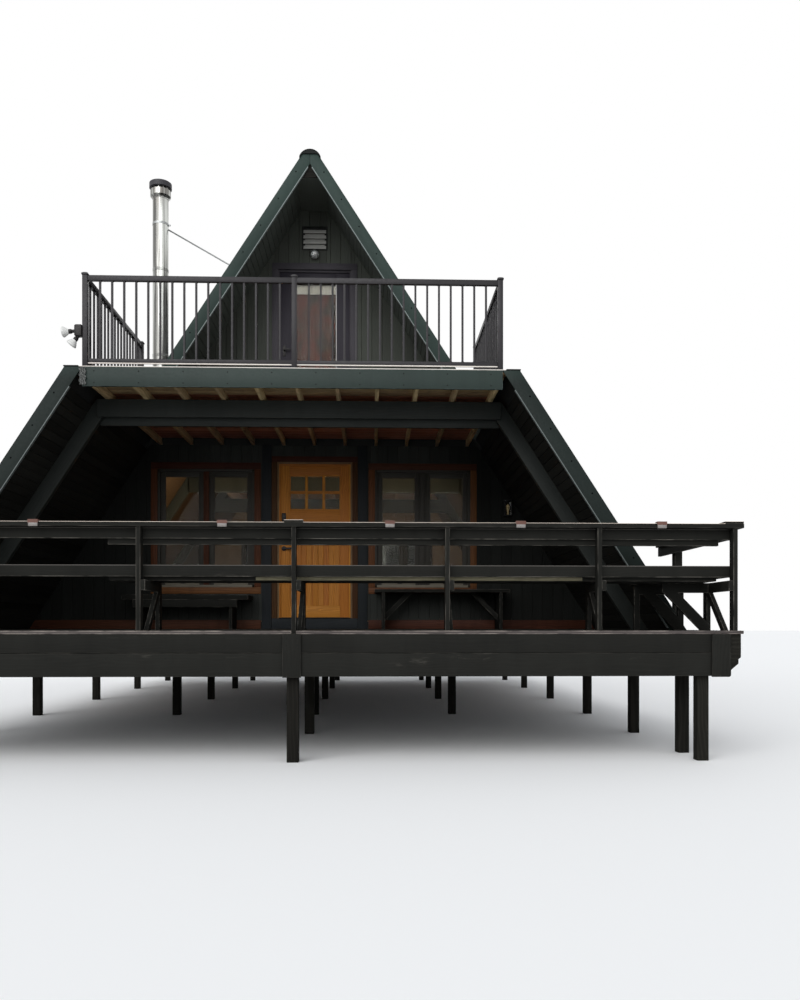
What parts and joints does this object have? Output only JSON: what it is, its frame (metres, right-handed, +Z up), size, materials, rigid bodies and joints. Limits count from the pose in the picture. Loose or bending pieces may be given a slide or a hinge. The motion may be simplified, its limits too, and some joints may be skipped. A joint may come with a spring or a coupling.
{
  "type": "a-frame cabin",
  "caption": "Raised A-frame cabin with a covered porch, a railed deck with a built-in bench, a balcony over the porch, a panelled front door that opens and a metal flue with a stay.",
  "frame": {"origin": "middle of the whole cabin at ground level, under the bounding box", "axes": "+X to the right seen from the front, +Y from the porch to the rear wall, +Z up"},
  "size_m": [7.8586, 12.021, 7.3589],
  "materials": {
    "timber_treated": "weathered",
    "timber_joist": "weathered",
    "floor_wood": "satin",
    "deck_grey": "weathered",
    "skirt_paint": "weathered paint",
    "shingle": "matte",
    "lining_wood": "weathered",
    "timber_dark": "painted",
    "ridge_metal": "matte",
    "fascia_green": "satin",
    "siding_dark": "painted",
    "trim_redbrown": "painted",
    "door_wood": "satin varnish",
    "glass": "gloss",
    "dark_metal": "satin",
    "sash_grey": "satin",
    "vent_grey": "weathered",
    "lamp_clear": "gloss",
    "balcony_brown": "weathered",
    "lamp_metal": "satin",
    "rail_bronze": "satin",
    "rail_paint": "weathered paint",
    "copper": "satin",
    "stainless": "brushed"
  },
  "bodies": {
    "cabin": {"foundation_posts": "timber_treated", "floor_beams": "timber_treated", "deck_joists": "timber_joist", "house_joists": "timber_joist", "floor_rims": "timber_treated", "house_floor": "floor_wood", "porch_deck": "deck_grey", "skirt_boards": "skirt_paint", "roof_left": "shingle", "roof_right": "shingle", "porch_lining": "lining_wood", "ridge_beam": "timber_dark", "ridge_cap": "ridge_metal", "roof_fascias": "fascia_green", "shoulder_flashing": "ridge_metal", "bent_legs": "timber_dark", "cross_beams": "timber_dark", "front_wall_left": "siding_dark", "front_wall_right": "siding_dark", "front_wall_head": "siding_dark", "front_gable": "siding_dark", "rear_wall": "siding_dark", "rear_gable": "siding_dark", "wall_posts": "siding_dark", "base_boards": "trim_redbrown", "door_sill": "siding_dark", "door_frame": "door_wood", "door_trim": "trim_redbrown", "window_frames": "trim_redbrown", "window_sashes": "sash_grey", "window_glass": "glass", "upper_door_trim": "trim_redbrown", "upper_door_leaf": "trim_redbrown", "upper_door_glass": "glass", "gable_vent": "vent_grey", "gable_light": "lamp_clear", "wall_lantern": "dark_metal", "loft_floor": "floor_wood", "loft_joists": "timber_joist", "balcony_deck": "balcony_brown", "balcony_joists": "timber_joist", "balcony_fascia": "fascia_green", "balcony_edging": "lamp_metal", "railing_front": "rail_bronze", "railing_sides": "rail_bronze", "balcony_posts": "rail_bronze", "floodlight": "lamp_metal", "rail_posts": "rail_paint", "rail_caps": "rail_paint", "rail_boards": "rail_paint", "bench_boards": "rail_paint", "bench_frames": "rail_paint", "rail_lights": "copper", "chimney_pipe": "stainless", "chimney_flashing": "lamp_metal", "chimney_stay": "lamp_metal"},
    "door": {"door_leaf": "door_wood", "door_glass": "glass", "door_handle": "dark_metal"}
  },
  "joints": [
    {"name": "front_door_hinge", "type": "hinge", "parent": "cabin", "child": "door", "pos_m": [0.452, -1.8435, 2.271], "axis": [0, 0, -1], "range_deg": [0, 100]}
  ]
}
